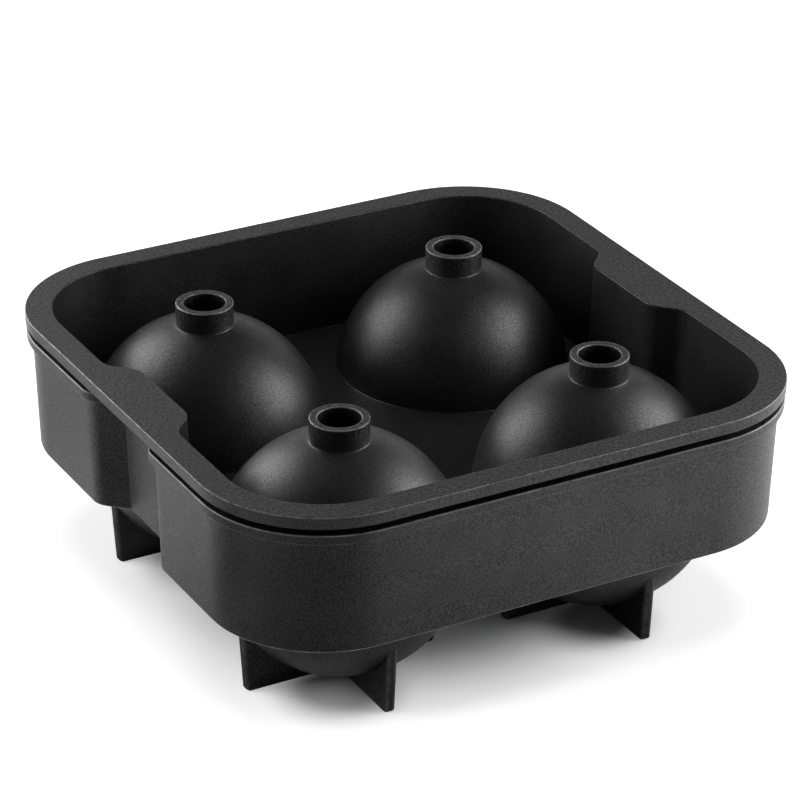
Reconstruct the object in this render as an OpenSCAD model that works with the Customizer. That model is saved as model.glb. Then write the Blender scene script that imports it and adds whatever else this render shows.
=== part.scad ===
// Four-ball ice mold in soft black silicone: an upper half with four domes and
// fill spouts nests in a lower half with four cups, finned feet and a skirt.
// The frame is +Z up, with the origin on the table under the middle of the mold.
// The finger notches are on the two X sides.

/* [Ice balls] */
// Diameter of one ice ball
ball_d = 45; // [38:0.5:52]
// Silicone thickness of the domes and the cups
shell_t = 1.5; // [1:0.1:2.5]
// Free distance between two neighbouring domes
dome_gap = 8.5; // [7:0.5:14]
// Free distance from a dome to the wall of the tray, at the floor
wall_room = 2.55; // [1.5:0.05:8]

/* [Walls] */
// Thickness of the tray wall and of the skirt wall
wall_t = 2; // [1.2:0.1:3]
// Clearance between the nested walls
nest_gap = 0.3; // [0.2:0.05:0.8]
// Lean of every wall, in degrees from upright
draft = 2; // [0.5:0.5:4]
// Radius of the skirt's upright corners at its bottom edge
corner_r = 22.8; // [16:0.2:26]
// Height of the skirt, from its bottom edge to the top of the lip
skirt_h = 25.2; // [18:0.1:34]

/* [Rim and lip] */
// Distance that the rim flange stands out past the skirt
flange_out = 1.1; // [0.8:0.1:4]
// Thickness of the rim flange
flange_t = 2.4; // [1.5:0.1:5]
// Height of the shadow gap between the lip and the rim flange
flange_gap = 1.3; // [0.5:0.1:4]
// Distance that the lip stands out past the skirt
lip_out = 1.1; // [0.5:0.1:2]
// Height of the lip
lip_h = 2; // [1.5:0.1:5]

/* [Finger notches] */
// Width of a notch in the face of the skirt
notch_w = 28; // [20:1:40]
// Depth of a notch
notch_depth = 5; // [3:0.5:7]
// Slant of the ends of a notch, in degrees from the wall
notch_slant = 45; // [35:1:60]
// Rounding of every wall where it turns into a notch
notch_round = 4.4; // [2:0.2:6]
// Rounding at the back corners of a notch
notch_ease = 0.6; // [0.4:0.1:2]

/* [Floors and seal] */
// Thickness of the upper half's floor
upper_floor_t = 1.9; // [1.2:0.1:3]
// Thickness of the lower half's floor
base_floor_t = 3; // [2.4:0.1:5]
// Width of the sealing bead around each ball
bead_w = 1.4; // [0.8:0.1:2]
// Height of the sealing bead
bead_h = 1.2; // [0.6:0.1:1.6]
// Clearance around the bead in its groove
seal_gap = 0.3; // [0.2:0.05:0.5]

/* [Spouts] */
// Outside diameter of a fill spout
spout_d = 11.5; // [9.5:0.1:16]
// Bore of a fill spout
spout_bore = 8.3; // [5:0.1:8.5]
// Height of a spout above the top of its dome
spout_h = 3.9; // [2:0.1:8]

/* [Feet] */
// Height of the cups above the table
foot_clear = 1.1; // [0.6:0.1:5]
// Reach of a foot rib from the middle of its cup, on the table
rib_reach = 20.4; // [14:0.2:22]
// Lean of a rib's ends, in degrees from upright
rib_lean = 4; // [1:0.5:8]
// Thickness of a foot rib
rib_t = 2.1; // [1.4:0.1:3.5]
// Rounding of a rib's lower outer corner
rib_round = 1.6; // [0.5:0.1:2.5]

/* [Hidden] */

$fn = 96;
rubber = "#232325";
rubber_dark = "#1b1b1d";
// Overlap that carries a cut past the face it opens
past = 4;
// Smallest rounding that a notch's back corner keeps
least_round = 0.4;
// Overlap with which a notch's rounds cross the sides that they ease
grip = 0.02;

ball_r = ball_d / 2;
shell_r = ball_r + shell_t;
ball_pitch = 2 * shell_r + dome_gap;
ball_at = ball_pitch / 2;

part_z = foot_clear + shell_r;
base_z = part_z - base_floor_t;
lip_top = base_z + skirt_h;
lip_z = lip_top - lip_h;
flange_z = lip_top + flange_gap;
rim_z = flange_z + flange_t;
tray_z = part_z + upper_floor_t;
dome_top = part_z + shell_r;
spout_top = dome_top + spout_h;

// Insets of the nested walls from the outside of the skirt
skirt_inside = wall_t;
tray_outside = wall_t + nest_gap;
tray_inside = 2 * wall_t + nest_gap;

tray_half = ball_at + shell_r + wall_room;
base_half = tray_half + tray_inside - (tray_z - base_z) * tan(draft);
core = base_half - corner_r;
rim_half = skirt_half(rim_z) + flange_out;

// The sealing bead runs midway between its ball and the next one
seal_r = (shell_r + ball_at) / 2;

LEFT_FRONT = [-1, -1];
RIGHT_FRONT = [1, -1];
LEFT_REAR = [-1, 1];
RIGHT_REAR = [1, 1];
CELLS = [LEFT_FRONT, RIGHT_FRONT, LEFT_REAR, RIGHT_REAR];

// Half width of the skirt's outside at a height
function skirt_half(z) = base_half + (z - base_z) * tan(draft);

// Point at a distance from another point, along an angle from the +X axis
function along(point, distance, angle) = point + distance * [cos(angle), sin(angle)];

// Places its children on the axis of one ball
module at_cell(cell) {
  translate([cell[0] * ball_at, cell[1] * ball_at, 0]) children();
}

// Plan of a notch in a wall whose face is the line x = 0, with the silicone at x < 0
module notch_plan(inset) {
  mouth = notch_w / 2 + inset * tan(notch_slant / 2);
  back = mouth - notch_depth / tan(notch_slant);
  inner_round = max(notch_ease + inset, least_round);
  outer_run = notch_round * tan(notch_slant / 2);
  inner_run = inner_round * tan(notch_slant / 2);
  outer_middle = [-notch_round, mouth + outer_run];
  inner_middle = [inner_round - notch_depth, back - inner_run];
  half_plan = [
    [past, mouth + outer_run],
    outer_middle,
    along([0, mouth], outer_run, -90 - notch_slant),
    along([-notch_depth, back], inner_run, 90 - notch_slant),
    inner_middle,
    [-notch_depth, back - inner_run]
  ];
  difference() {
    union() {
      polygon(concat(
        half_plan,
        [for (i = [len(half_plan) - 1 : -1 : 0]) [half_plan[i][0], -half_plan[i][1]]]
      ));
      for (side = [0, 1]) mirror([0, side]) translate(inner_middle) circle(r = inner_round + grip);
    }
    for (side = [0, 1]) mirror([0, side]) translate(outer_middle) circle(r = notch_round + grip);
  }
}

// Leaning block with round upright corners, inside the skirt's outside by an inset
module drafted_block(inset, low, high) {
  low_half = skirt_half(low) - inset;
  high_half = skirt_half(high) - inset;
  for (turn = [0, 90])
    rotate([0, 0, turn])
      rotate([90, 0, 0])
        linear_extrude(2 * core, center = true)
          polygon([[-low_half, low], [low_half, low], [high_half, high], [-high_half, high]]);
  for (cell = CELLS)
    translate([cell[0] * core, cell[1] * core, low])
      cylinder(h = high - low, r1 = low_half - core, r2 = high_half - core);
}

// Leaning block with the two finger notches cut into its X sides
module tray_form(inset, low, high) {
  difference() {
    drafted_block(inset, low, high);
    for (side = [0, 1])
      mirror([side, 0, 0])
        translate([skirt_half(low) - inset, 0, low])
          rotate([0, draft, 0])
            translate([0, 0, -past])
              linear_extrude(high - low + 2 * past) notch_plan(inset);
  }
}

// Upright ring between two insets of the tray form
module tray_ring(outside, inside, low, high) {
  difference() {
    tray_form(outside, low, high);
    tray_form(inside, low - past, high + past);
  }
}

// Plate with round corners and upright edges
module rim_plate(half, low, high) {
  translate([0, 0, low])
    linear_extrude(high - low) {
      square([2 * half, 2 * core], center = true);
      square([2 * core, 2 * half], center = true);
      for (cell = CELLS) translate(cell * core) circle(r = half - core);
    }
}

// Upright ring around the axis of one ball
module cell_ring(middle, width, low, high) {
  translate([0, 0, low])
    difference() {
      cylinder(h = high - low, r = middle + width / 2);
      translate([0, 0, -past]) cylinder(h = high - low + 2 * past, r = middle - width / 2);
    }
}

// Flat rim of the upper half, which overhangs the lip
module rim_flange() {
  color(rubber)
    difference() {
      rim_plate(rim_half, flange_z, rim_z);
      tray_form(tray_inside, flange_z - past, rim_z + past);
    }
}

// Wall of the upper half, from its floor to the rim
module tray_wall() {
  color(rubber) tray_ring(tray_outside, tray_inside, tray_z, flange_z);
}

// Floor of the upper half, with a sealing bead under it around each ball
module tray_floor() {
  color(rubber) {
    difference() {
      tray_form(tray_outside, part_z, tray_z);
      for (cell = CELLS)
        at_cell(cell)
          translate([0, 0, part_z - past]) cylinder(h = upper_floor_t + 2 * past, r = shell_r);
    }
    for (cell = CELLS) at_cell(cell) cell_ring(seal_r, bead_w, part_z - bead_h, part_z);
  }
}

// Half shell of one ball: a dome above the parting plane, or a cup below it
module half_shell(up, floor_t) {
  low = up ? 0 : -shell_r;
  difference() {
    union() {
      intersection() {
        sphere(r = shell_r);
        translate([0, 0, low]) cylinder(h = shell_r, r = shell_r + past);
      }
      translate([0, 0, up ? 0 : -floor_t]) cylinder(h = floor_t, r = shell_r);
    }
    sphere(r = ball_r);
  }
}

// Dome over one ball, open in the middle for its spout
module dome(cell) {
  color(rubber)
    at_cell(cell)
      translate([0, 0, part_z])
        difference() {
          half_shell(true, upper_floor_t);
          cylinder(h = shell_r + past, d = spout_d);
        }
}

// Fill spout of one dome, from inside the ball to above the rim
module spout(cell) {
  color(rubber)
    at_cell(cell)
      difference() {
        translate([0, 0, part_z]) cylinder(h = spout_top - part_z, d = spout_d);
        translate([0, 0, part_z - past]) cylinder(h = spout_top - part_z + 2 * past, d = spout_bore);
        translate([0, 0, part_z]) sphere(r = ball_r);
      }
}

// Lip along the top of the skirt
module lip_band() {
  color(rubber) tray_ring(-lip_out, skirt_inside, lip_z, lip_top);
}

// Skirt wall of the lower half, from its floor to the lip
module skirt_wall() {
  color(rubber) tray_ring(0, skirt_inside, part_z, lip_z);
}

// Floor of the lower half, with a groove around each ball for the sealing bead
module base_floor() {
  color(rubber)
    difference() {
      tray_form(0, base_z, part_z);
      for (cell = CELLS)
        at_cell(cell) {
          translate([0, 0, base_z - past]) cylinder(h = base_floor_t + 2 * past, r = shell_r);
          cell_ring(seal_r, bead_w + 2 * seal_gap, part_z - bead_h - seal_gap, part_z + past);
        }
    }
}

// Cup under one ball
module cup(cell) {
  color(rubber) at_cell(cell) translate([0, 0, part_z]) half_shell(false, base_floor_t);
}

// Side view of one foot rib, with leaning ends and round lower corners
module rib_side() {
  end_at = rib_reach - rib_round * (1 - sin(rib_lean)) / cos(rib_lean);
  touch = [end_at + rib_round * cos(rib_lean), rib_round * (1 - sin(rib_lean))];
  top = rib_reach + part_z * tan(rib_lean);
  polygon([
    [-end_at, 0], [end_at, 0], touch, [top, part_z],
    [-top, part_z], [-touch[0], touch[1]]
  ]);
  for (side = [-1, 1]) translate([side * end_at, rib_round]) circle(r = rib_round);
}

// Foot of one cup: two crossing ribs that carry it above the table
module foot(cell) {
  color(rubber_dark)
    at_cell(cell)
      difference() {
        for (turn = [0, 90])
          rotate([90, 0, turn]) linear_extrude(rib_t, center = true) rib_side();
        translate([0, 0, part_z]) sphere(r = shell_r);
        translate([0, 0, base_z]) cylinder(h = part_z, r = shell_r + past);
      }
}

rim_flange();
tray_wall();
tray_floor();
dome(LEFT_FRONT);  // dome_left_front
dome(RIGHT_FRONT);  // dome_right_front
dome(LEFT_REAR);  // dome_left_rear
dome(RIGHT_REAR);  // dome_right_rear
spout(LEFT_FRONT);  // spout_left_front
spout(RIGHT_FRONT);  // spout_right_front
spout(LEFT_REAR);  // spout_left_rear
spout(RIGHT_REAR);  // spout_right_rear
lip_band();
skirt_wall();
base_floor();
cup(LEFT_FRONT);  // cup_left_front
cup(RIGHT_FRONT);  // cup_right_front
cup(LEFT_REAR);  // cup_left_rear
cup(RIGHT_REAR);  // cup_right_rear
foot(LEFT_FRONT);  // foot_left_front
foot(RIGHT_FRONT);  // foot_right_front
foot(LEFT_REAR);  // foot_left_rear
foot(RIGHT_REAR);  // foot_right_rear
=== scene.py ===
# %% [markdown]
# # A four-ball ice mold in black silicone
# The mold is two soft mouldings. The upper half has four domes with fill spouts, and it nests in
# a lower half with four cups, finned feet and a skirt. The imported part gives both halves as 22
# regions with exact sizes. Here each half becomes one unbroken skin with the small rounds that a
# real moulding has, because those rounds are what catches the light on a black object.

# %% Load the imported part
import math

import bmesh
import bpy
import numpy as np
from mathutils import Matrix, Vector


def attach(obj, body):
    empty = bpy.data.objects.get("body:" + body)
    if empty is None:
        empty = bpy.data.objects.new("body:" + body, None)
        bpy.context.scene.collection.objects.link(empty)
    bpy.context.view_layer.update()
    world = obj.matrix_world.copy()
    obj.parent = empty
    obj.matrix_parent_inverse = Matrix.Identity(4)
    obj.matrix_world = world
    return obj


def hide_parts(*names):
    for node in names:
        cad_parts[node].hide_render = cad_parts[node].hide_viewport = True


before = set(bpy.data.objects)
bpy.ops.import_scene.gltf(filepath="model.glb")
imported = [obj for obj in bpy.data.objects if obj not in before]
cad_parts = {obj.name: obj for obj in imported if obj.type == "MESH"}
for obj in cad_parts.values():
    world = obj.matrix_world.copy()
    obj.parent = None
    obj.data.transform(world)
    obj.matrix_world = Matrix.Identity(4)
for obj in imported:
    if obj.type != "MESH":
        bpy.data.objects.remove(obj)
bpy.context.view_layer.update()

# %% [markdown]
# ## The sizes
# All sizes are in millimetres, as on the mold's drawing, and turn into Blender's metres only when
# a mesh is made. The walls lean, so their place is told by an inset from the outside of the skirt:
# the lip stands out past it, and the walls of the two halves lie inside it.

# %% Sizes of the mold
MM = 0.001
BALL_R, SHELL_T, DOME_GAP, WALL_ROOM, FOOT_CLEAR = 22.5, 1.5, 8.5, 2.55, 1.1
WALL_T, NEST_GAP, CORNER_R, LIP_OUT, FLANGE_OUT = 2.0, 0.3, 22.8, 1.1, 1.1
BASE_T, TRAY_T, SPOUT_H, SPOUT_R, BORE_R = 3.0, 1.9, 3.9, 5.75, 4.15
SKIRT_H, LIP_H, FLANGE_GAP, FLANGE_T = 25.2, 2.0, 1.3, 2.4
LEAN = math.tan(math.radians(2))

SHELL_R = BALL_R + SHELL_T
CELL = SHELL_R + DOME_GAP / 2
SEAL_R = (SHELL_R + CELL) / 2
PART_Z = FOOT_CLEAR + SHELL_R
BASE_Z, TRAY_Z, SPOUT_TOP = PART_Z - BASE_T, PART_Z + TRAY_T, PART_Z + SHELL_R + SPOUT_H
LIP_TOP = BASE_Z + SKIRT_H
LIP_Z, FLANGE_Z, RIM_Z = LIP_TOP - LIP_H, LIP_TOP + FLANGE_GAP, LIP_TOP + FLANGE_GAP + FLANGE_T
SKIRT_IN, TRAY_OUT, TRAY_IN = WALL_T, WALL_T + NEST_GAP, 2 * WALL_T + NEST_GAP
BASE_HALF = CELL + SHELL_R + WALL_ROOM + TRAY_IN - (TRAY_Z - BASE_Z) * LEAN
CORE = BASE_HALF - CORNER_R
RIM_HALF = BASE_HALF + (RIM_Z - BASE_Z) * LEAN + FLANGE_OUT

# %% [markdown]
# ## The camera
# The photo is taken from the front left and a little above, through a long lens. The camera's
# place was found by fitting the corners of the rim, the spouts and the skirt to the photo, so it
# is written as numbers. Building the camera first lets every later step be judged in its view.

# %% Camera
CAMERA_AT, LENS, SENSOR = (-0.312389, -0.561261, 0.360797), 165.02, 36.0
NEAR_CLIP, FAR_CLIP = 0.05, 50.0
view_turn, view_rise, view_roll = (math.radians(a) for a in (-29.12, 26.736, 0.462))
to_right = np.array((math.cos(view_turn), math.sin(view_turn), 0.0))
to_rear = (-math.sin(view_turn), math.cos(view_turn), 0.0)


def add_object(name, data):
    """Puts a new object with this mesh, camera or lamp into the scene."""
    made = bpy.data.objects.new(name, data)
    bpy.context.scene.collection.objects.link(made)
    return made


back = np.array((math.sin(view_turn) * math.cos(view_rise),
                 -math.cos(view_turn) * math.cos(view_rise), math.sin(view_rise)))
upward = np.cross(back, to_right)
right = math.cos(view_roll) * to_right + math.sin(view_roll) * upward
up = math.cos(view_roll) * upward - math.sin(view_roll) * to_right

camera = add_object("camera", bpy.data.cameras.new("camera"))
camera.data.sensor_width, camera.data.lens = SENSOR, LENS
camera.data.clip_start, camera.data.clip_end = NEAR_CLIP, FAR_CLIP
axes = zip(right, up, back)
camera.matrix_world = Matrix([(*a, at) for a, at in zip(axes, CAMERA_AT)] + [(0, 0, 0, 1)])
bpy.context.scene.camera = camera
print("camera lens", LENS, "mm, distance", round(math.hypot(*CAMERA_AT), 3), "m")

# %% [markdown]
# ## Rounding a profile
# Seen in section, a moulding is a line that turns at corners, and every corner has a round. This
# helper takes the corners with their radii and puts a short arc at each one. It also adds a point
# close before and after each arc. Smooth shading then bends only across the arc, and the flat
# faces beside it stay flat. A Bevel modifier could round the edges too, but it knows no wear:
# here each point carries a wear value, highest on the crest of an outer edge. The silicone's
# finish reads it later to lighten the edge, partly as real wear and partly as a painted highlight.

# %% Profile helpers
# HOLD is the distance of the extra points from an arc. PLAIN, LIGHT and FULL are wear values,
# which also set how strong the painted highlight on an edge is.
HOLD = 0.12
ARC_STEPS = 4
PLAIN, LIGHT, FULL = 0.0, 0.5, 1.0
ABOVE, BELOW = 1, -1


def sweep(centre, radius, first, last, steps):
    """Points of the shorter arc around a centre, from one direction to another."""
    start = math.atan2(first[1], first[0])
    swing = (math.atan2(last[1], last[0]) - start + math.pi) % (2 * math.pi) - math.pi
    angles = [start + swing * i / steps for i in range(steps + 1)]
    return [(centre[0] + radius * math.cos(a), centre[1] + radius * math.sin(a)) for a in angles]


def with_wear_and_highlight(arc, wear):
    """Gives the points of an arc their wear and painted highlight: full on the crest and none at the two
    ends.
    """
    last = len(arc) - 1
    return [(*p, wear * math.sin(math.pi * i / last)) for i, p in enumerate(arc)]


def rounded(corners, steps=ARC_STEPS):
    """Profile through corners (across, height, radius, wear and highlight), as rows of (across, height,
    wear and highlight).
    """
    rows = [(*corners[0][:2], PLAIN)]
    for before, corner, after in zip(corners, corners[1:], corners[2:]):
        b = np.array(corner[:2], float)
        radius, wear = corner[2:]
        if radius == 0:
            rows.append((*corner[:2], wear))
            continue
        u, v = np.array(before[:2]) - b, np.array(after[:2]) - b
        reach_u, reach_v = np.linalg.norm(u), np.linalg.norm(v)
        u, v = u / reach_u, v / reach_v
        half = math.acos(float(np.clip(u @ v, -1, 1))) / 2
        run = radius / math.tan(half)
        middle = b + (u + v) / np.linalg.norm(u + v) * radius / math.sin(half)
        if reach_u > run + 2 * HOLD:
            rows.append((*(b + u * (run + HOLD)), PLAIN))
        arc = sweep(middle, radius, b + u * run - middle, b + v * run - middle, steps)
        rows += with_wear_and_highlight(arc, wear)
        if reach_v > run + 2 * HOLD:
            rows.append((*(b + v * (run + HOLD)), PLAIN))
    return rows + [(*corners[-1][:2], PLAIN)]


def straight(across, *heights):
    """Corners without a round: extra rows that keep the faces of a straight wall short."""
    return [(across, z, 0, PLAIN) for z in heights]


def ball_meets_face(radius, face, fillet, side, wear=PLAIN):
    """Round between a ball and a level face, from the ball to the face."""
    height = face + side * fillet - PART_Z
    middle = (math.sqrt((radius + fillet) ** 2 - height ** 2), height + PART_Z)
    arc = sweep(middle, fillet, (-middle[0], PART_Z - middle[1]), (0, -side), ARC_STEPS)
    return with_wear_and_highlight(arc, wear)


def ball_arc(radius, first, last, steps):
    """Part of a ball's outline between two points of it, without the points themselves."""
    first, last = ((across, z - PART_Z) for across, z in (first[:2], last[:2]))
    return with_wear_and_highlight(sweep((0, PART_Z), radius, first, last, steps), PLAIN)[1:-1]


print("a right corner becomes", len(rounded([(0, 0), (2, 0, 0.4, FULL), (2, 2)])), "points")

# %% [markdown]
# ## The outline of the walls
# Seen from above, all walls follow one outline: a square with round corners, pushed in by a
# finger notch on the two X sides. Both halves are mirror images across X and across Y, so only
# the quarter around one ball is drawn. The outline is sampled in the same columns for every inset
# and height. A column then runs straight up the wall, and walls, lip and rim can share it.

# %% Wall outline of one quarter
NOTCH_HALF, NOTCH_DEPTH, NOTCH_ROUND, NOTCH_EASE, LEAST_ROUND = 14.0, 5.0, 4.4, 0.6, 0.4
SLANT = math.radians(45)
COLUMNS = {"rear": 20, "corner": 32, "side": 10, "turn in": 8, "slant": 5, "turn back": 8, "back": 6}
PAST_CORNER = COLUMNS["rear"] + COLUMNS["corner"]


def steps_of(part):
    """Even steps from 0 to just below 1, one for each column of a part of the outline."""
    return np.arange(COLUMNS[part]) / COLUMNS[part]


def round_corner(half):
    """The corner of the plan, between sides that lie this far from the middle."""
    angle = steps_of("corner") * math.pi / 2
    return np.stack((CORE + (half - CORE) * np.sin(angle), CORE + (half - CORE) * np.cos(angle)), 1)


def wall_outline(inset, z):
    """Plan of a wall in the +X +Y quarter, from the plane x = 0 to the plane y = 0."""
    half = BASE_HALF + (z - BASE_Z) * LEAN - inset
    mouth = NOTCH_HALF + inset * math.tan(SLANT / 2)
    rear = mouth - NOTCH_DEPTH / math.tan(SLANT)
    outer, inner = NOTCH_ROUND, max(NOTCH_EASE + inset, LEAST_ROUND)
    outer_y, inner_y = mouth + outer * math.tan(SLANT / 2), rear - inner * math.tan(SLANT / 2)
    turn_in, turn_back = steps_of("turn in") * SLANT, (1 - steps_of("turn back")) * SLANT
    lead = np.array((half - outer + outer * math.cos(SLANT), outer_y - outer * math.sin(SLANT)))
    trail = np.array((half - NOTCH_DEPTH + inner * (1 - math.cos(SLANT)),
                      inner_y + inner * math.sin(SLANT)))
    plan = [
        np.stack((CORE * steps_of("rear"), np.full(COLUMNS["rear"], half)), 1),
        round_corner(half),
        np.stack((np.full(COLUMNS["side"], half), CORE + (outer_y - CORE) * steps_of("side")), 1),
        np.stack((half - outer * (1 - np.cos(turn_in)), outer_y - outer * np.sin(turn_in)), 1),
        lead + (trail - lead) * steps_of("slant")[:, None],
        np.stack((half - NOTCH_DEPTH + inner * (1 - np.cos(turn_back)),
                  inner_y + inner * np.sin(turn_back)), 1),
        np.stack((np.full(COLUMNS["back"], half - NOTCH_DEPTH), inner_y * (1 - steps_of("back"))), 1),
        [(half - NOTCH_DEPTH, 0.0)],
    ]
    return np.concatenate(plan)


def rim_outline(half):
    """Plan of the rim's plain outer edge, in the same columns as the walls."""
    plan = wall_outline(TRAY_IN, RIM_Z)
    plan[:COLUMNS["rear"], 1] = half
    plan[COLUMNS["rear"]:PAST_CORNER] = round_corner(half)
    plan[PAST_CORNER:, 0] = half
    return plan


print("a quarter wall has", len(wall_outline(0, PART_Z)), "columns")

# %% [markdown]
# ## A skin from three grids
# One quarter of a half is three sheets of quads. The first spreads from the ball's middle over
# the top side, the second follows the wall where the floor ends at one, and the third comes back
# to the ball's middle over the underside. A ray from the ball to each wall column, and to points
# on the two planes where the next quarters begin, ties the sheets together. The grid could also
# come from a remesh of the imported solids, but then the edges would lose their even rounds.

# %% Grid helpers
SEAM_STEPS = 26
FLOOR_SHARES, SHORT_HOLD = (0.35, 0.7), 0.2


def floor_edge(wall):
    """The quarter's boundary: its wall columns, then the two planes shared with its neighbours."""
    share = (np.arange(1, SEAM_STEPS) / SEAM_STEPS)[:, None]
    to_middle = np.concatenate((wall[-1] * (1 - share), np.zeros((1, 2))))
    return np.concatenate((wall, to_middle, wall[0] * share))


RAYS = floor_edge(wall_outline(TRAY_IN, TRAY_Z)) - CELL
RAYS = RAYS / np.linalg.norm(RAYS, axis=1)[:, None]


def level_row(plan, z):
    return np.column_stack((plan, np.full(len(plan), z)))


def wear_and_highlight_of(profile):
    return [wear for _, _, wear in profile]


def wall_rows(profile):
    """Rows of points along the wall from profile points (inset, height, wear and highlight)."""
    return [level_row(wall_outline(inset, z), z) for inset, z, _ in profile]


def around_ball(profile):
    """Rows of points around the ball's axis from profile points (radius, height, wear and highlight)."""
    return [level_row(CELL + RAYS * r, z) for r, z, _ in profile], wear_and_highlight_of(profile)


def across_floor(radius, inset, z):
    """Rows on a level floor between a circle around the ball and the quarter's boundary."""
    start, edge = CELL + RAYS * radius, floor_edge(wall_outline(inset, z))
    gap = np.linalg.norm(edge - start, axis=1)[:, None]
    rows = [start + (edge - start) * s for s in FLOOR_SHARES]
    rows += [edge - (edge - start) / gap * np.minimum(HOLD, SHORT_HOLD * gap), edge]
    return [level_row(row, z) for row in rows], [PLAIN] * len(rows)


def set_wear_and_highlight(mesh, values):
    wear = mesh.attributes.new("edge_wear_and_highlight", "FLOAT", "POINT")
    wear.data.foreach_set("value", np.array(values, np.float32))


class Skin:
    """Collects the grids of one quarter, in millimetres, with the wear and painted highlight value of
    each point.
    """

    def __init__(self):
        self.points, self.wear, self.faces = [], [], []

    def add(self, rows, wear, closed):
        """Adds a grid of rows; a closed grid runs all the way around the ball."""
        count, width, first = len(rows), len(rows[0]), len(self.points)
        self.points += [tuple(p) for row in rows for p in row]
        self.wear += [w for w in wear for _ in range(width)]
        for i in range(count - 1):
            for j in range(width if closed else width - 1):
                a, b = first + i * width + j, first + i * width + (j + 1) % width
                self.faces.append((a, b, b + width, a + width))

    def mesh(self, name):
        made = bpy.data.meshes.new(name)
        made.from_pydata((np.array(self.points) * MM).tolist(), [], self.faces)
        set_wear_and_highlight(made, self.wear)
        return made


def quarter_skin(top, wall, wall_wear_and_highlight, under, wall_start, wall_end):
    """The three sheets of a quarter: ball and floor on top, the wall, floor and ball below."""
    made = Skin()
    (rows, wear), (floor_rows, floor_wear_and_highlight) = around_ball(top), across_floor(top[-1][0], *wall_start[:2])
    made.add(rows + floor_rows, wear + floor_wear_and_highlight, closed=True)
    made.add(wall, wall_wear_and_highlight, closed=False)
    (rows, wear), (floor_rows, floor_wear_and_highlight) = around_ball(under), across_floor(under[0][0], *wall_end[:2])
    made.add(floor_rows[::-1] + rows, floor_wear_and_highlight[::-1] + wear, closed=True)
    return made


print("one quarter spreads along", len(RAYS), "rays")

# %% [markdown]
# ## The upper half
# The upper half starts in the fill bore, goes over the spout and down the dome to the floor, up
# the wall of the tray, over the rim and down outside to the underside with its sealing bead, and
# returns through the ball's hollow. The section could be drawn point by point. As a list of
# corners it keeps every radius in sight: all of them are small, because the photo shows crisp
# lines at the feet of the domes and spouts as well as on the free edges.

# %% Upper half, one quarter
# A fillet lies in a hollow corner and an edge on an outer one. A lap is the way that a section
# runs on along the flat face beside it.
SPOUT_FILLET, DOME_FILLET, FLOOR_FILLET, FLANGE_FILLET, SEAL_ROUND = 0.3, 0.2, 0.1, 0.5, 0.15
SPOUT_EDGE, BALL_EDGE, RIM_EDGE, TRAY_EDGE = 0.3, 0.2, 0.2, 0.4
# The rim's inner and lower edges get these amounts of real wear and painted highlight.
RIM_INNER_WEAR_AND_HIGHLIGHT, RIM_UNDER_WEAR_AND_HIGHLIGHT = 0.1, 0.3
BEAD_HALF, BEAD_DEPTH, BEAD_EDGE = 0.7, 1.2, 0.45
BEAD_LAP_OUT, BEAD_LAP_IN, FLOOR_LAP, RIM_LAP, FLANGE_LAP, UNDER_LAP = 0.35, 0.7, 0.95, 0.6, 0.75, 0.6
DOME_STEPS, HOLLOW_STEPS = 28, 24

spout_foot_z = PART_Z + math.sqrt((SHELL_R + SPOUT_FILLET) ** 2 - (SPOUT_R + SPOUT_FILLET) ** 2)
bore_z = PART_Z + math.sqrt(BALL_R ** 2 - BORE_R ** 2)
spout = rounded([(BORE_R, bore_z), (BORE_R, SPOUT_TOP, SPOUT_EDGE, FULL),
                 (SPOUT_R, SPOUT_TOP, SPOUT_EDGE, FULL), (SPOUT_R, spout_foot_z)])
foot_middle = (SPOUT_R + SPOUT_FILLET, spout_foot_z)
to_ball = (-foot_middle[0], PART_Z - spout_foot_z)
spout_foot = with_wear_and_highlight(sweep(foot_middle, SPOUT_FILLET, (-1, 0), to_ball, ARC_STEPS), PLAIN)
dome_foot = ball_meets_face(SHELL_R, TRAY_Z, DOME_FILLET, ABOVE)
dome = ball_arc(SHELL_R, spout_foot[-1], dome_foot[0], DOME_STEPS)
upper_top = spout + spout_foot[1:] + dome + dome_foot

ball_edge = ball_meets_face(BALL_R, PART_Z, BALL_EDGE, ABOVE, LIGHT)
hollow = ball_arc(BALL_R, (BORE_R, bore_z), ball_edge[0], HOLLOW_STEPS)
bead_out, bead_in, bead_low = SEAL_R + BEAD_HALF, SEAL_R - BEAD_HALF, PART_Z - BEAD_DEPTH
bead = rounded([(bead_out + BEAD_LAP_OUT, PART_Z), (bead_out, PART_Z, SEAL_ROUND, PLAIN),
                (bead_out, bead_low, BEAD_EDGE, LIGHT), (bead_in, bead_low, BEAD_EDGE, LIGHT),
                (bead_in, PART_Z, SEAL_ROUND, PLAIN), (bead_in - BEAD_LAP_IN, PART_Z)])
upper_under = bead + ball_edge[::-1] + hollow[::-1] + [(BORE_R, bore_z, PLAIN)]

inside = rounded([(TRAY_IN + FLOOR_LAP, TRAY_Z), (TRAY_IN, TRAY_Z, FLOOR_FILLET, PLAIN),
                  *straight(TRAY_IN, 35.0, 43.0),
                  (TRAY_IN, RIM_Z, RIM_EDGE, RIM_INNER_WEAR_AND_HIGHLIGHT), (TRAY_IN - RIM_LAP, RIM_Z)])
outside = rounded([(TRAY_OUT - FLANGE_LAP, FLANGE_Z), (TRAY_OUT, FLANGE_Z, FLANGE_FILLET, PLAIN),
                   *straight(TRAY_OUT, 36.0),
                   (TRAY_OUT, PART_Z, TRAY_EDGE, LIGHT), (TRAY_OUT + UNDER_LAP, PART_Z)])
print("rows: spout and dome", len(upper_top), "underside", len(upper_under),
      "wall", len(inside) + len(outside))

# %% [markdown]
# ## The rim
# The wall and the rim share their columns, but the rim's outer edge runs straight past the finger
# notches. So the rim is only joined to the wall row by row: the wall follows the notch inwards,
# the edge stays out, and the flat top between them becomes wide at the notch, as on the real mold.

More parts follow.
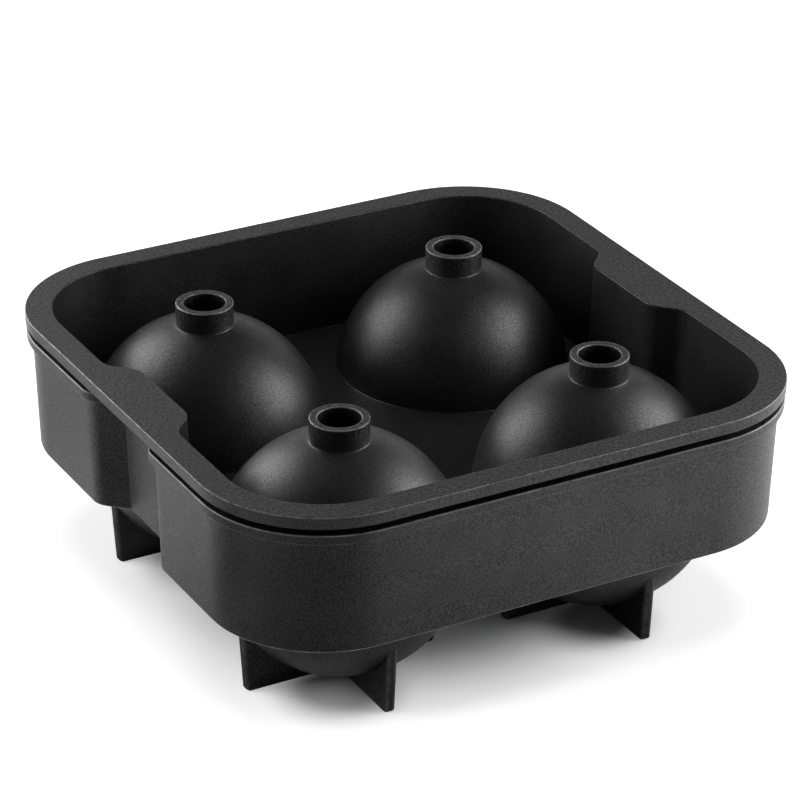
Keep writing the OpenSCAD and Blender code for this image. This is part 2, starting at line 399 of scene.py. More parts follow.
# %% Upper half, wall and rim
rim_edge = rounded([(RIM_HALF - FLANGE_LAP, RIM_Z), (RIM_HALF, RIM_Z, RIM_EDGE, FULL),
                    (RIM_HALF, FLANGE_Z, RIM_EDGE, RIM_UNDER_WEAR_AND_HIGHLIGHT),
                    (RIM_HALF - FLANGE_LAP, FLANGE_Z)])
rim_rows = [level_row(rim_outline(half), z) for half, z, _ in rim_edge]
upper_quarter = quarter_skin(upper_top, wall_rows(inside) + rim_rows + wall_rows(outside),
                             wear_and_highlight_of(inside + rim_edge + outside), upper_under,
                             inside[0], outside[-1])
print("upper quarter:", len(upper_quarter.faces), "faces")

# %% [markdown]
# ## The lower half
# The lower half starts at the lowest point inside a cup, rises to the parting plane, crosses the
# floor with the groove for the bead, and climbs the inside of the skirt to the lip. Outside, it
# drops from the lip to the skirt's thin lower edge and returns under the floor around the cup.
# It uses the same rays and columns, so the two halves fit each other point by point.

# %% Lower half, one quarter
CUP_FILLET, SKIRT_FILLET, GROOVE_FILLET, LIP_ROUND, SKIRT_EDGE = 0.8, 0.4, 0.3, 0.3, 0.35
GROOVE_HALF, GROOVE_DEPTH, GROOVE_LAP_IN, GROOVE_LAP_OUT = 1.0, 1.5, 0.6, 0.4
# The skirt's lower edge gets this amount of real wear and painted highlight, more than a full edge.
SKIRT_WEAR_AND_HIGHLIGHT, SKIRT_LAP, BASE_LAP = 1.6, 0.65, 0.6
CUP_IN_STEPS, CUP_OUT_STEPS = 26, 28

cup_low, shell_low = PART_Z - BALL_R, PART_Z - SHELL_R
cup_edge = ball_meets_face(BALL_R, PART_Z, BALL_EDGE, BELOW, LIGHT)
cup_inside = [(0.0, cup_low, PLAIN)] + ball_arc(BALL_R, (0, cup_low), cup_edge[0], CUP_IN_STEPS)
groove_in, groove_out, groove_low = SEAL_R - GROOVE_HALF, SEAL_R + GROOVE_HALF, PART_Z - GROOVE_DEPTH
groove = rounded([(groove_in - GROOVE_LAP_IN, PART_Z), (groove_in, PART_Z, SEAL_ROUND, LIGHT),
                  (groove_in, groove_low, GROOVE_FILLET, PLAIN),
                  (groove_out, groove_low, GROOVE_FILLET, PLAIN),
                  (groove_out, PART_Z, SEAL_ROUND, LIGHT), (groove_out + GROOVE_LAP_OUT, PART_Z)])
lower_top = cup_inside + cup_edge + groove

cup_foot = ball_meets_face(SHELL_R, BASE_Z, CUP_FILLET, BELOW)
cup_outside = ball_arc(SHELL_R, cup_foot[0], (0, shell_low), CUP_OUT_STEPS)
lower_under = cup_foot[::-1] + cup_outside + [(0.0, shell_low, PLAIN)]

skirt = rounded([(SKIRT_IN + SKIRT_LAP, PART_Z), (SKIRT_IN, PART_Z, SKIRT_FILLET, PLAIN),
                 *straight(SKIRT_IN, 36.0), (SKIRT_IN, LIP_TOP, LIP_ROUND, FULL),
                 (-LIP_OUT, LIP_TOP, LIP_ROUND, FULL), (-LIP_OUT, LIP_Z, LIP_ROUND, LIGHT),
                 (0, LIP_Z, LIP_ROUND, PLAIN), *straight(0, 37.0, 29.5),
                 (0, BASE_Z, SKIRT_EDGE, SKIRT_WEAR_AND_HIGHLIGHT), (BASE_LAP, BASE_Z)])
lower_quarter = quarter_skin(lower_top, wall_rows(skirt), wear_and_highlight_of(skirt), lower_under,
                             skirt[0], skirt[-1])
print("lower quarter:", len(lower_quarter.faces), "faces")

# %% [markdown]
# ## Wiring nodes
# The finish of the silicone, the table and the room are made of nodes, and so are the copies of a
# quarter and of a foot. Nodes can be placed and linked by hand in an editor. Written as steps,
# they can be read from top to bottom and built again. These helpers add a node, set its inputs
# and link it in one line.

# %% Node helpers
NUMBER, COLOUR = "NodeSocketFloat", "NodeSocketColor"
SHAPE, MATERIAL = "NodeSocketGeometry", "NodeSocketMaterial"
WHITE = (1, 1, 1, 1)


def socket(group, name, kind, value=None, output=False):
    """Adds a named input or output to a node group."""
    made = group.interface.new_socket(name, in_out="OUTPUT" if output else "INPUT", socket_type=kind)
    if value is not None:
        made.default_value = value


class Wiring:
    """Adds nodes to a tree and links them, so that a tree reads as a list of steps."""

    def __init__(self, tree):
        self.tree = tree

    def node(self, kind, settings=None, **inputs):
        """Adds a node; its inputs go by name, or by place as i0, i1 and i2 where names repeat."""
        made = self.tree.nodes.new(kind)
        for name, value in (settings or {}).items():
            setattr(made, name, value)
        for name, value in inputs.items():
            by_place = name[0] == "i" and name[1:].isdigit()
            self.feed(made.inputs[int(name[1:]) if by_place else name.replace("_", " ")], value)
        return made

    def feed(self, target, *values):
        """Links a socket to an input, or several where it takes many, or writes a plain value."""
        for value in values:
            if isinstance(value, bpy.types.NodeSocket):
                self.tree.links.new(value, target)
            else:
                target.default_value = value

    def math(self, operation, a, b=0.0, clamp=False):
        settings = {"operation": operation, "use_clamp": clamp}
        return self.node("ShaderNodeMath", settings, i0=a, i1=b).outputs[0]

    def vector(self, operation, output, **inputs):
        return self.node("ShaderNodeVectorMath", {"operation": operation}, **inputs).outputs[output]

    def ramp(self, value, low, high, to_low=0.0, to_high=1.0):
        """Leads smoothly from one value to another while the input runs from low to high."""
        return self.node("ShaderNodeMapRange", {"interpolation_type": "SMOOTHSTEP"}, Value=value,
                         From_Min=low, From_Max=high, To_Min=to_low, To_Max=to_high).outputs[0]

    def noise(self, vector, scale, detail):
        return self.node("ShaderNodeTexNoise", Vector=vector, Scale=scale, Detail=detail,
                         Roughness=0.6).outputs["Fac"]

    def mix(self, share, a, b):
        """Mixes two colours; the node also has sockets of the same names for other kinds."""
        made = self.node("ShaderNodeMix", {"data_type": "RGBA"})
        colours = {s.name: s for s in made.inputs if s.type == "RGBA"}
        for target, value in ((made.inputs["Factor"], share), (colours["A"], a), (colours["B"], b)):
            self.feed(target, value)
        return next(s for s in made.outputs if s.type == "RGBA")


print("socket kinds:", NUMBER, COLOUR, SHAPE, MATERIAL)

# %% [markdown]
# ## The silicone's finish
# The real surface is black with a fine grain from the mould, patches that are a little smoother
# than others, and specks of pale dust. Its edges are a shade lighter, partly from real wear and
# partly as a painted highlight along the rounds. Its sparkle comes from a thin glossy film that
# the grain breaks up, and on the flat rim the grain is coarser. Halves and feet share these
# effects, so they are one node group with named inputs, and each material sets its own amounts.
# The patterns read Object coordinates in millimetres, so the grain has one size everywhere and
# stays put when a half is lifted. Image textures would also do, but they need an unwrap and a file.

# %% Shader group for the silicone skin
# Scales are per millimetre. A range is the part of a noise that a ramp spreads out.
PATCH_SCALE, HAZE_SCALE, WEAR_AND_HIGHLIGHT_SCALE, SPECK_SCALE = 0.09, 0.045, 0.35, 0.5
NOISE_MIDDLE, NOISE_RANGE, HAZE_RANGE, WEAR_AND_HIGHLIGHT_RANGE = 0.5, (0.3, 0.7), (0.42, 0.72), (0.15, 0.65)
COARSE_SCALE, COARSE_GAIN, RIM_BELOW = 0.5, 3.0, (0.3, 0.1)
SPECK_R, SPECK_HEIGHT = 0.06, 0.6
PATCH_ROUGH, GRAIN_ROUGH, PATCH_FILM, FILM_LOW, FILM_HIGH = 0.05, 0.04, 0.08, 0.14, 1.0

skin_group = bpy.data.node_groups.new("silicone skin", "ShaderNodeTree")
for name, kind, value in (("Silicone", COLOUR, (0.0025, 0.0025, 0.0027, 1)),
                          ("Bloom", COLOUR, (0.03, 0.03, 0.0305, 1)),
                          ("Rubbed And Highlight", COLOUR, (0.16, 0.16, 0.16, 1)),
                          ("Dust", COLOUR, (0.12, 0.12, 0.117, 1)),
                          ("Grain Size", NUMBER, 0.3), ("Bloom Amount", NUMBER, 0.1),
                          ("Wear Amount", NUMBER, 0.5), ("Dust Amount", NUMBER, 0.3),
                          ("Gloss", NUMBER, 0.5)):
    socket(skin_group, name, kind, value)
for name, kind in (("Color", COLOUR), ("Roughness", NUMBER), ("Film", NUMBER), ("Height", NUMBER)):
    socket(skin_group, name, kind, output=True)

w = Wiring(skin_group)
given = w.node("NodeGroupInput").outputs
place = w.node("ShaderNodeTexCoord").outputs["Object"]
place_mm = w.vector("SCALE", 0, Vector=place, Scale=1 / MM)

grain = w.noise(place_mm, w.math("DIVIDE", 1.0, given["Grain Size"]), 2.0)
coarse = w.noise(place_mm, w.math("DIVIDE", COARSE_SCALE, given["Grain Size"]), 2.0)
coarse = w.math("MULTIPLY", w.math("SUBTRACT", coarse, NOISE_MIDDLE), COARSE_GAIN)
height = w.node("ShaderNodeSeparateXYZ", Vector=place_mm).outputs["Z"]
on_rim = w.ramp(height, *(RIM_Z - below for below in RIM_BELOW))
grain = w.math("ADD", grain, w.math("MULTIPLY", coarse, on_rim))
patches = w.noise(place_mm, PATCH_SCALE, 3.0)
haze = w.ramp(w.noise(place_mm, HAZE_SCALE, 5.0), *HAZE_RANGE)

# Real wear and painted highlight: the edge value lightens the colour along the rounds, broken up by
# noise.
wear_and_highlight_at_edge = w.node("ShaderNodeAttribute", {"attribute_name": "edge_wear_and_highlight"}).outputs["Fac"]
rub_and_highlight = w.math("MULTIPLY", wear_and_highlight_at_edge, w.ramp(w.noise(place_mm, WEAR_AND_HIGHLIGHT_SCALE, 4.0), *WEAR_AND_HIGHLIGHT_RANGE))
rub_and_highlight = w.math("MULTIPLY", rub_and_highlight, given["Wear Amount"], clamp=True)

cells = w.node("ShaderNodeTexVoronoi", Vector=place_mm, Scale=SPECK_SCALE)
lone = w.node("ShaderNodeSeparateColor", Color=cells.outputs["Color"]).outputs
in_speck = w.math("LESS_THAN", cells.outputs["Distance"], w.math("MULTIPLY", lone[1], SPECK_R))
speck = w.math("MULTIPLY", in_speck, w.math("LESS_THAN", lone[0], given["Dust Amount"]))

tone = w.mix(w.math("MULTIPLY", haze, given["Bloom Amount"]), given["Silicone"], given["Bloom"])
tone = w.mix(rub_and_highlight, tone, given["Rubbed And Highlight"])
tone = w.mix(speck, tone, given["Dust"])
rough = w.math("ADD", given["Gloss"], w.ramp(patches, *NOISE_RANGE, -PATCH_ROUGH, PATCH_ROUGH))
rough = w.math("ADD", rough, w.ramp(grain, *NOISE_RANGE, -GRAIN_ROUGH, GRAIN_ROUGH))
film = w.math("ADD", w.ramp(grain, *NOISE_RANGE, FILM_LOW, FILM_HIGH),
              w.ramp(patches, *NOISE_RANGE, -PATCH_FILM, PATCH_FILM), clamp=True)
bumps = w.math("ADD", grain, w.math("MULTIPLY", speck, SPECK_HEIGHT))
w.node("NodeGroupOutput", Color=tone, Roughness=rough, Film=film, Height=bumps)
print("silicone skin group:", len(skin_group.nodes), "nodes")

# %% [markdown]
# ## Three silicone materials
# The upper half faces the lamps, and its black is painted a shade paler: painted light on the same
# silicone. It also has the finest grain. The lower half is gripped at its lip and skirt, so its
# edges carry the most wear and painted highlight. The feet are a little duller and their lighter
# edges hardly show. Each material is a Principled BSDF whose colour, roughness, glossy film and
# bump come from the group, and whose fixed values sit on its own sockets. One material for all
# would be simpler, but then the feet would shine like the rim.

# %% Materials
# The height of the grain is in millimetres.
SKIN_IOR, FOOT_IOR, FILM_IOR, FILM_ROUGH, GRAIN_HEIGHT = 1.3, 1.2, 1.5, 0.43, 0.07


def silicone(name, ior=SKIN_IOR, **amounts):
    """A material from the silicone group, with its own amounts of grain, wear, dust and gloss."""
    made = bpy.data.materials.new(name)
    made.use_nodes = True
    m = Wiring(made.node_tree)
    skin = m.node("ShaderNodeGroup", {"node_tree": skin_group}, **amounts).outputs
    bump = m.node("ShaderNodeBump", Strength=1.0, Distance=GRAIN_HEIGHT * MM, Height=skin["Height"])
    shader = made.node_tree.nodes["Principled BSDF"].inputs
    for label, value in (("IOR", ior), ("Coat Roughness", FILM_ROUGH), ("Coat IOR", FILM_IOR),
                         ("Normal", bump.outputs["Normal"]), ("Base Color", skin["Color"]),
                         ("Roughness", skin["Roughness"]), ("Coat Weight", skin["Film"])):
        m.feed(shader[label], value)
    return made


# Painted light: the upper half's black is a shade paler than the lower half's because it faces the
# lamps.
upper_silicone = silicone("upper silicone", Silicone=(0.005, 0.005, 0.0053, 1), Grain_Size=0.3,
                          Wear_Amount=0.7, Dust_Amount=0.15, Gloss=0.43)
lower_silicone = silicone("lower silicone", Grain_Size=0.32,
                          Wear_Amount=0.8, Dust_Amount=0.15, Gloss=0.43)
foot_silicone = silicone("foot silicone", FOOT_IOR, Grain_Size=0.32,
                         Wear_Amount=0.3, Dust_Amount=0.15, Gloss=0.48)
print("materials:", [m.name for m in (upper_silicone, lower_silicone, foot_silicone)])

# %% [markdown]
# ## From a quarter to a whole half
# Four equal quarters make a half, so a Geometry Nodes tree mirrors the quarter across X and then
# across Y, and welds the joints. Mirroring by a negative scale turns faces inside out, so each
# mirrored copy is flipped back. The same tree serves both halves, with its weld distance and
# material as inputs. A Mirror modifier would do it as well, but it takes no material from outside.

# %% Geometry Nodes: four quarters
def tree_with(name, *inputs):
    """A tree that takes a shape and further inputs and gives a shape: its wiring and its inputs."""
    made = bpy.data.node_groups.new(name, "GeometryNodeTree")
    for label, kind in (("Geometry", SHAPE), *inputs):
        socket(made, label, kind)
    socket(made, "Geometry", SHAPE, output=True)
    wiring = Wiring(made)
    return wiring, wiring.node("NodeGroupInput").outputs


def hand_out(wiring, shape, material):
    """Last steps of a tree: turn copies into plain faces and set the material."""
    real = wiring.node("GeometryNodeRealizeInstances", Geometry=shape).outputs[0]
    coated = wiring.node("GeometryNodeSetMaterial", Geometry=real, Material=material).outputs[0]
    wiring.node("NodeGroupOutput", Geometry=coated)


four, given = tree_with("four quarters", ("Weld Distance", NUMBER), ("Material", MATERIAL))
whole = given["Geometry"]
for scale in ((-1, 1, 1), (1, -1, 1)):
    mirrored = four.node("GeometryNodeTransform", Geometry=whole, Scale=scale).outputs[0]
    flipped = four.node("GeometryNodeFlipFaces", Mesh=mirrored).outputs[0]
    joined = four.node("GeometryNodeJoinGeometry")
    four.feed(joined.inputs[0], whole, flipped)
    whole = joined.outputs[0]
welded = four.node("GeometryNodeMergeByDistance", Geometry=whole, Distance=given["Weld Distance"])
smooth = four.node("GeometryNodeSetShadeSmooth", Geometry=welded.outputs[0])
hand_out(four, smooth.outputs[0], given["Material"])
print("four quarters tree:", len(four.tree.nodes), "nodes")

# %% [markdown]
# ## Making the two halves
# The tree runs as a modifier, and its result is copied into a plain mesh, because the exported
# part holds meshes only. Normals are then recalculated once on the closed skin, and its volume
# is measured. A closed skin that points outwards has a positive volume close to the silicone's own.

# %% Upper and lower moulding
# In metres, far below the smallest gap between two points of a quarter.
WELD = 2e-6


def made_by(tree, mesh, name, **inputs):
    """Runs a Geometry Nodes tree on a mesh and returns the result as a plain object."""
    source = add_object(name + "_source", mesh)
    modifier = source.modifiers.new(tree.name, "NODES")
    modifier.node_group = tree
    for label, value in inputs.items():
        modifier[tree.interface.items_tree[label.replace("_", " ")].identifier] = value
    graph = bpy.context.evaluated_depsgraph_get()
    result = bpy.data.meshes.new_from_object(source.evaluated_get(graph),
                                             preserve_all_data_layers=True, depsgraph=graph)
    source.modifiers.clear()
    bpy.data.objects.remove(source)
    shape = bmesh.new()
    shape.from_mesh(result)
    bmesh.ops.recalc_face_normals(shape, faces=shape.faces)
    volume = shape.calc_volume(signed=True) / (10 * MM) ** 3
    loose = sum(not e.is_manifold for e in shape.edges)
    shape.to_mesh(result)
    shape.free()
    result.name = name
    result.calc_loop_triangles()
    print(f"{name}: {len(result.loop_triangles)} triangles, {volume:.2f} cm3, {loose} open edges")
    return add_object(name, result)


CELLS = ("left_front", "right_front", "left_rear", "right_rear")
upper_moulding = made_by(four.tree, upper_quarter.mesh("upper_quarter"), "upper_moulding",
                         Weld_Distance=WELD, Material=upper_silicone)
lower_moulding = made_by(four.tree, lower_quarter.mesh("lower_quarter"), "lower_moulding",
                         Weld_Distance=WELD, Material=lower_silicone)
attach(upper_moulding, "upper_half")
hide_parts("rim_flange", "tray_wall", "tray_floor",
            *("dome_" + c for c in CELLS), *("spout_" + c for c in CELLS))
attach(lower_moulding, "lower_half")
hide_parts("lip_band", "skirt_wall", "base_floor", *("cup_" + c for c in CELLS))

# %% [markdown]
# ## The edge of a foot rib
# Under each cup two thin ribs cross. A rib is a flat fin: its ends lean and are round like the
# edge of a coin, its lower corners are round too, and its top follows the cup and sinks a little
# into it, so that no gap opens between them. A bevel would give every edge one radius. Here the
# fin's outline is a path instead, and a round edge runs along it that is small under the fin and
# nearly as wide as the fin at its ends.

# %% Path and edge of one rib
RIB_REACH, RIB_T, RIB_ROUND, RIB_SINK = 20.4, 2.1, 1.0, 0.15
RIB_LEAN = math.tan(math.radians(4))
LOW_EDGE, END_EDGE = 0.3, 0.9
SEAT_TRIES, RIB_CORNER_STEPS = 30, 8

top_z = FOOT_CLEAR
for _ in range(SEAT_TRIES):
    reach = RIB_REACH + top_z * RIB_LEAN
    top_z = PART_Z - math.sqrt((SHELL_R - RIB_SINK) ** 2 - reach ** 2)
half_path = rounded([(0, 0), (RIB_REACH, 0, RIB_ROUND, PLAIN),
                     (RIB_REACH + top_z * RIB_LEAN, top_z)], RIB_CORNER_STEPS)
path = np.array([(-x, z) for x, z, _ in half_path[:0:-1]] + [(x, z) for x, z, _ in half_path])
ways = np.diff(path, axis=0)
ways = ways / np.linalg.norm(ways, axis=1)[:, None]
ahead = np.vstack((ways[:1], ways[:-1] + ways[1:], ways[-1:]))
ahead = ahead / np.linalg.norm(ahead, axis=1)[:, None]
outward = np.column_stack((ahead[:, 1], -ahead[:, 0]))
tilt = np.abs(np.arctan2(outward[:, 0], -outward[:, 1])) / (math.pi / 2)
edge_r = LOW_EDGE + (END_EDGE - LOW_EDGE) * np.minimum(1, tilt)
print("rib path:", len(path), "points, top at", round(top_z, 2), "mm")

# %% [markdown]
# ## One foot rib
# The round edge is a strip of faces along the path. Two flat sides close it, and a curved seat
# lies in the cup's wall. A narrow inset around the flat sides keeps their shading flat beside
# the round edge.

# %% One foot rib
SEAT_STEPS = 40
bend = np.radians((-90, -60, -30, 0, 0, 30, 60, 90))
sides = (-1, -1, -1, -1, 1, 1, 1, 1)

rib = bmesh.new()
grid = []
for angle, side in zip(bend, sides):
    spots = path - outward * (edge_r * (1 - math.cos(angle)))[:, None]
    across = side * (RIB_T / 2 - edge_r) + edge_r * math.sin(angle)
    grid.append([rib.verts.new((x * MM, y * MM, z * MM)) for (x, z), y in zip(spots, across)])
for row, following in zip(grid, grid[1:]):
    for j in range(len(path) - 1):
        rib.faces.new((row[j], row[j + 1], following[j + 1], following[j]))

seat_x, _, seat_z = np.array(grid[0][-1].co) / MM - (0, 0, PART_Z)
seat_r = math.hypot(seat_x, seat_z)
seat = sweep((0, PART_Z), seat_r, (seat_x, seat_z), (-seat_x, seat_z), SEAT_STEPS)[1:-1]
near, far = ([rib.verts.new((x * MM, side * RIB_T / 2 * MM, z * MM)) for x, z in seat]
             for side in (-1, 1))
flats = [rib.faces.new(grid[0] + near), rib.faces.new((grid[-1] + far)[::-1])]
near, far = [grid[0][-1], *near, grid[0][0]], [grid[-1][-1], *far, grid[-1][0]]
for j in range(len(near) - 1):
    rib.faces.new((near[j], near[j + 1], far[j + 1], far[j]))
for end in (0, -1):
    rib.faces.new([row[end] for row in grid])
bmesh.ops.recalc_face_normals(rib, faces=rib.faces)
bmesh.ops.inset_individual(rib, faces=flats, thickness=HOLD * MM)
bmesh.ops.triangulate(rib, faces=[f for f in rib.faces if len(f.verts) > 4])
rib_mesh = bpy.data.meshes.new("rib")
rib.to_mesh(rib_mesh)
rib.free()

# Real wear and painted highlight on the crests of the rib's round edge.
rib_wear_and_highlight = np.zeros(len(rib_mesh.vertices))
rib_wear_and_highlight[:len(grid) * len(path)] = np.repeat(np.abs(np.sin(2 * bend)), len(path))
set_wear_and_highlight(rib_mesh, rib_wear_and_highlight)
print("rib:", len(rib_mesh.vertices), "points, seat radius", round(seat_r, 2), "mm")

# %% [markdown]
# ## Eight ribs in four feet
# A second Geometry Nodes tree turns a copy of the rib by a quarter turn, fuses the two into a
# cross, and puts a cross on each of the four points of a grid, one under every cup. The grid's
# spacing is an input, so the feet follow the balls.

# %% Geometry Nodes: crossing ribs under every cup
SHARP_ANGLE = math.radians(50)
crosses, given = tree_with("crossing ribs", ("Ball Pitch", NUMBER), ("Material", MATERIAL))
one, pitch = given["Geometry"], given["Ball Pitch"]
turned = crosses.node("GeometryNodeTransform", Geometry=one, Rotation=(0, 0, math.pi / 2)).outputs[0]
union = crosses.node("GeometryNodeMeshBoolean", {"operation": "UNION", "solver": "MANIFOLD"})
crosses.feed(union.inputs["Mesh 2"], one, turned)
points = crosses.node("GeometryNodeMeshGrid", Size_X=pitch, Size_Y=pitch, Vertices_X=2, Vertices_Y=2)
placed = crosses.node("GeometryNodeInstanceOnPoints", Points=points.outputs["Mesh"],
                      Instance=union.outputs["Mesh"])
hand_out(crosses, placed.outputs[0], given["Material"])

foot_ribs = made_by(crosses.tree, rib_mesh, "foot_ribs", Ball_Pitch=2 * CELL * MM,
                    Material=foot_silicone)
for polygon in foot_ribs.data.polygons:
    polygon.use_smooth = True
foot_ribs.data.set_sharp_from_angle(angle=SHARP_ANGLE)
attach(foot_ribs, "lower_half")
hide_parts(*("foot_" + c for c in CELLS))

# %% [markdown]
# ## The table
# The mold stands on a white table. In the photo the ground is pure white almost up to the mold.
# Stronger lamps would do that, but they would also brighten the silicone. So the table has its
# own white paint and adds a glow, one for rays straight from the camera and a weaker one for
# mirror images. The glow fades out under the mold and around each foot: a painted shadow, laid
# over the real shadow of the lamps. The weaker glow fades near the mold, a painted shade in the
# mirror images.

# %% Floor
# Lengths in metres. The glow grows from the first distance to the second; where it is weak it
# paints the shadow under the mold and before each foot.
FLOOR_HALF, PAINT = 6, (0.9, 0.9, 0.9, 1)
GLOW, GLOW_FROM, GLOW_TO = 0.53, 0.48 * RIM_HALF * MM, 0.97 * RIM_HALF * MM
MIRROR_GLOW, MIRROR_FROM, MIRROR_TO = 0.4, RIM_HALF * MM, 2.2 * RIM_HALF * MM
FOOT_DARK, FOOT_BRIGHT, SHADOW_SHIFT = 5 * MM, 16 * MM, 10 * MM


def seen_rays(wiring):
    """Rays straight from the camera, and rays that come from a mirror image or through glass."""
    paths = wiring.node("ShaderNodeLightPath").outputs
    mirrored = wiring.math("ADD", paths["Is Glossy Ray"], paths["Is Transmission Ray"])
    return paths["Is Camera Ray"], mirrored


def flat_plate(name, half_x, half_y, material):
    """A level rectangle, not attached to any body of the part."""
    corners = [(x * half_x, y * half_y, 0) for x, y in ((-1, -1), (1, -1), (1, 1), (-1, 1))]
    mesh = bpy.data.meshes.new(name)
    mesh.from_pydata(corners, [], [(0, 1, 2, 3)])
    mesh.materials.append(material)
    made = add_object(name, mesh)
    return made


table = bpy.data.materials.new("white table")
table.use_nodes = True
t = Wiring(table.node_tree)
spot = t.node("ShaderNodeTexCoord").outputs["Object"]
away = t.vector("LENGTH", "Value", i0=spot)
shifted = t.vector("ADD", 0, i0=spot, i1=tuple(SHADOW_SHIFT * a for a in to_rear))
folded = t.vector("ABSOLUTE", 0, i0=shifted)
from_foot = t.vector("DISTANCE", "Value", i0=folded, i1=(CELL * MM, CELL * MM, 0))
direct, mirrored = seen_rays(t)
# Painted shadow: the glow seen by the camera fades under the mold and close before each foot.
glow_with_painted_shadow = t.math("MULTIPLY", t.ramp(away, GLOW_FROM, GLOW_TO, 0, GLOW),
                    t.ramp(from_foot, FOOT_DARK, FOOT_BRIGHT))
# Painted shade in mirror images: the glow they see fades near the mold.
mirror_glow_with_painted_shade = t.math("MULTIPLY", mirrored, t.ramp(away, MIRROR_FROM, MIRROR_TO, 0, MIRROR_GLOW))
glow = t.math("ADD", t.math("MULTIPLY", direct, glow_with_painted_shadow), mirror_glow_with_painted_shade)
cover = t.node("ShaderNodeEmission", Color=WHITE, Strength=glow).outputs[0]
plain = t.node("ShaderNodeBsdfDiffuse", Color=PAINT).outputs[0]
both = t.node("ShaderNodeAddShader", i0=plain, i1=cover).outputs[0]
t.feed(table.node_tree.nodes["Material Output"].inputs["Surface"], both)
floor = flat_plate("floor", FLOOR_HALF, FLOOR_HALF, table)
print("floor", tuple(round(x, 1) for x in floor.dimensions), "m")

# %% [markdown]
# ## Black cards
# Black cards paint shade into the mirror images of this dark, glossy thing. One lies in front of
# the mold, towards the camera, so the front corner mirrors it and goes dark. A small one does the
# same for the slanting side of the notch, and a half clear one dims what the far left side
# mirrors. The flat sides still mirror the white table. Only mirror images show the cards: they
# are hidden from the camera, throw no shadow and take no light, and their edges fade out.
# they are hidden from the camera, throw no shadow and take no light, and their edges fade out.

# %% Black cards
CARD_BLACK, CARD_Z, CARD_FADE = (0.01, 0.01, 0.01, 1), 1 * MM, (0.4, 1.0)


def mirror_shade_card(name, where, half, see_through):
    """A square card on the table that only mirror images show, a painted shade in them."""
    paint = bpy.data.materials.new(name)
    paint.use_nodes = True
    c = Wiring(paint.node_tree)
    spot = c.node("ShaderNodeTexCoord").outputs["Object"]
    share = c.vector("MULTIPLY", "Vector", i0=spot, i1=(1 / half, 1 / half, 0))
    fade = c.ramp(c.vector("LENGTH", "Value", i0=share), *CARD_FADE, see_through, 1.0)
    dark = c.node("ShaderNodeBsdfDiffuse", Color=CARD_BLACK).outputs[0]
    clear = c.node("ShaderNodeBsdfTransparent").outputs[0]
    faded = c.node("ShaderNodeMixShader", i0=fade, i1=dark, i2=clear).outputs[0]
    c.feed(paint.node_tree.nodes["Material Output"].inputs["Surface"], faded)
    card = flat_plate(name, half, half, paint)
    card.matrix_world = Matrix.Translation((*where, CARD_Z)) @ Matrix.Rotation(view_turn, 4, "Z")
    card.visible_camera = card.visible_diffuse = card.visible_shadow = False
    print(name, tuple(round(x, 2) for x in card.dimensions), "m")


for name, where, half, see_through in (("front card", (-0.085, -0.118), 0.12, 0.2),
                                       ("notch card", (-0.122, -0.026), 0.07, 0.0),
                                       ("rear card", (-0.105, 0.110), 0.07, 0.5)):
    mirror_shade_card(name, where, half, see_through)

# %% [markdown]
# ## The room
# Black silicone shows mostly what it mirrors: a pale room behind it on the rim, a darker room in
# front on the sides of the spouts, and a dark ceiling everywhere else. A picture of a studio could
# be wrapped around the scene. A few smooth ramps do the same without a file, and they can differ
# for mirror images and for the fill light, which is stronger from behind and darker upwards.

# %% World
# Directions run from -1 to 1, upwards or to the rear, and each pair says where a ramp begins
# and ends.
CEILING, WALL_END = (0.05, 0.05, 0.05, 1), (0.05, 0.54)
FRONT_DIM, FRONT_RANGE = 0.15, (-0.9, -0.25)
FILL_FRONT, FILL_REAR, FILL_RANGE = 0.12, 0.45, (-0.6, 0.2)
FILL_UP, FILL_END = 0.2, (0.4, 0.75)

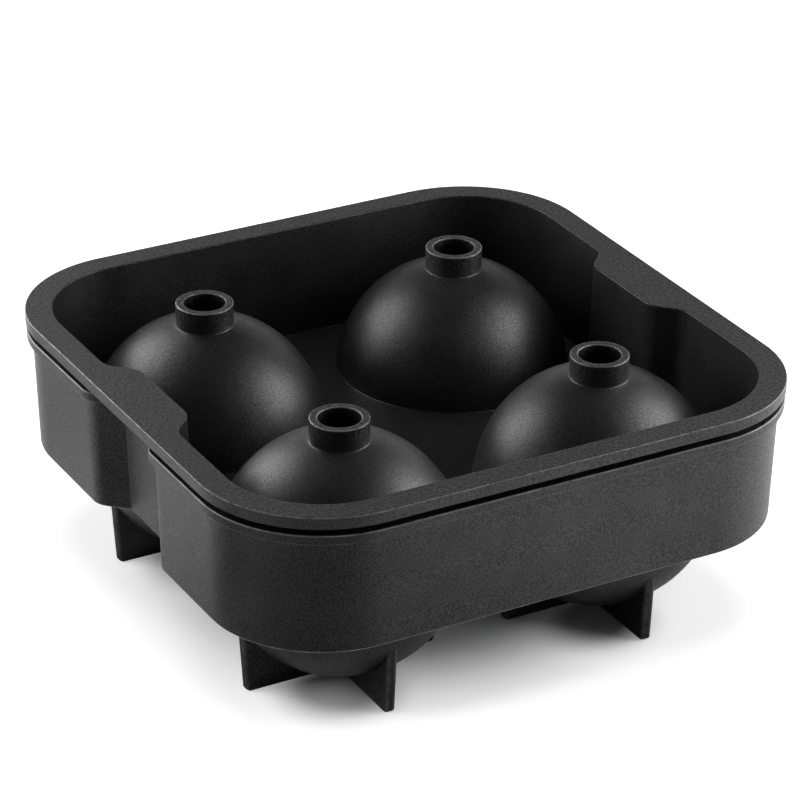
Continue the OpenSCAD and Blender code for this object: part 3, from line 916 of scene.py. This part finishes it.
world = bpy.data.worlds.new("studio")
bpy.context.scene.world = world
world.use_nodes = True
s = Wiring(world.node_tree)
toward = s.node("ShaderNodeTexCoord").outputs["Generated"]
height = s.node("ShaderNodeSeparateXYZ", Vector=toward).outputs["Z"]
behind = s.vector("DOT_PRODUCT", "Value", i0=toward, i1=to_rear)
direct, mirrored = seen_rays(s)
walls = s.mix(s.ramp(height, *WALL_END), WHITE, CEILING)
dim_front = s.math("MAXIMUM", direct, s.ramp(behind, *FRONT_RANGE, FRONT_DIM, 1.0))
room = s.node("ShaderNodeBackground", Color=walls, Strength=dim_front).outputs[0]
even = s.math("MULTIPLY", s.ramp(behind, *FILL_RANGE, FILL_FRONT, FILL_REAR),
              s.ramp(height, *FILL_END, 1.0, FILL_UP))
fill = s.node("ShaderNodeBackground", Color=WHITE, Strength=even).outputs[0]
seen = s.math("ADD", direct, mirrored)
shown = s.node("ShaderNodeMixShader", i0=seen, i1=fill, i2=room).outputs[0]
s.feed(world.node_tree.nodes["World Output"].inputs["Surface"], shown)
print("studio world:", len(world.node_tree.nodes), "nodes")

# %% [markdown]
# ## The lamps
# A wide lamp overhead and a softbox on either side light the table, at a level at which white
# paint renders as white. They stay out of the mirror images, or they would wash out the black.
# Two small lamps close to the mold do the opposite: they give the two soft highlights on each
# dome and nothing else. On a real set flags and filters part the light in this way.

# %% Lamps
LAMP_AIM = Vector((0, 0, 0.04))
SOFTBOX, SOFTBOX_Z, SOFTBOX_W = (1.2, 1.0), 0.55, 22.0
DOME_LAMP = (0.13, 0.19)


def lamp(name, where, size, watts):
    """A soft lamp of a given width and height, turned towards the middle of the mold."""
    made = add_object(name, bpy.data.lights.new(name, "AREA"))
    made.data.shape, made.data.energy = "RECTANGLE", watts
    made.data.size, made.data.size_y = size
    made.location = where
    made.rotation_mode = "QUATERNION"
    made.rotation_quaternion = (made.location - LAMP_AIM).to_track_quat("Z", "Y")
    print(f"{name}: {size[0] / MM:.0f} by {size[1] / MM:.0f} mm, {watts} W")
    return made


softbox_x, softbox_y = 1.5 * to_right[0], 1.5 * to_right[1]
for name, where, size, watts in (
        ("overhead lamp", (0, 0, 4.0), (2.8, 2.8), 80.0),
        ("left softbox", (-softbox_x, -softbox_y, SOFTBOX_Z), SOFTBOX, SOFTBOX_W),
        ("right softbox", (softbox_x, softbox_y, SOFTBOX_Z), SOFTBOX, SOFTBOX_W)):
    lamp(name, where, size, watts).visible_glossy = False
for name, where, watts in (("left lamp", (-0.111, 0.164, 0.124), 0.40),
                           ("right lamp", (0.168, -0.072, 0.117), 0.52)):
    lamp(name, where, DOME_LAMP, watts).visible_diffuse = False
bpy.context.scene.view_settings.view_transform = "Standard"
